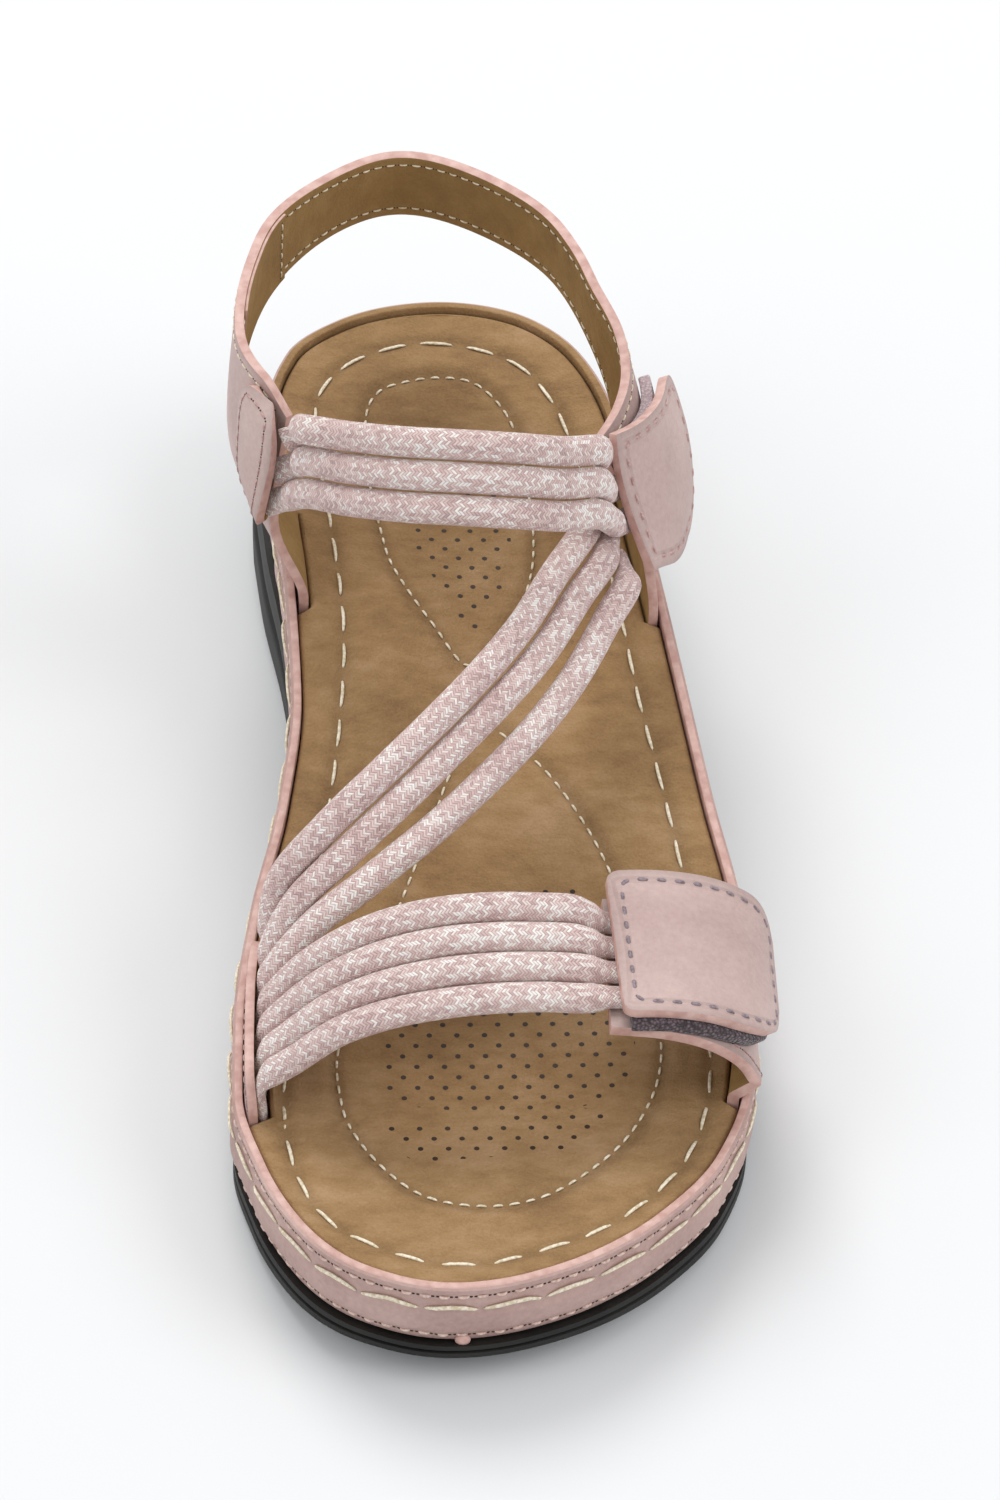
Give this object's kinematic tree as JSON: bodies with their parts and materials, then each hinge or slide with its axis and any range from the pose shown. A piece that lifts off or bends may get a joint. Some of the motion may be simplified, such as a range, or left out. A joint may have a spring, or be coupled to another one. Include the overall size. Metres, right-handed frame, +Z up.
{
  "type": "cross strap sandal",
  "caption": "Open women's comfort sandal with a heel sling, hook-and-loop tabs and stretchy cord straps crossing the instep and toes, standing empty on its wedge sole.",
  "frame": {"origin": "on the floor plane, under the centre of the heel seat, 35 mm ahead of the back of the heel", "axes": "+Z up, -Y towards the toe along the foot's length, +X towards the outer (lateral) side of this left shoe"},
  "size_m": [0.103, 0.2549, 0.0973],
  "materials": {
    "leather": "smooth dusty pink leather, low sheen",
    "elastic": "ribbed elastic cord, pale pink with lighter and darker threads",
    "suede": "tan suede insole cover, matt",
    "rubber": "black rubber, matt",
    "tape": "dark mauve hook-and-loop tape, matt"
  },
  "bodies": {
    "root": {"outsole": "rubber", "midsole": "leather", "footbed": "suede", "heel_strap": "leather", "ankle_patch": "leather", "ankle_tab": "leather", "ankle_hook_pad": "tape", "instep_cord_1": "elastic", "instep_cord_2": "elastic", "instep_cord_3": "elastic", "diagonal_cord_1": "elastic", "diagonal_cord_2": "elastic", "diagonal_cord_3": "elastic", "toe_cord_1": "elastic", "toe_cord_2": "elastic", "toe_cord_3": "elastic", "toe_cord_4": "elastic", "toe_quarter": "leather", "toe_tab": "leather", "toe_hook_pad": "tape", "toe_strip": "leather"}
  },
  "joints": []
}
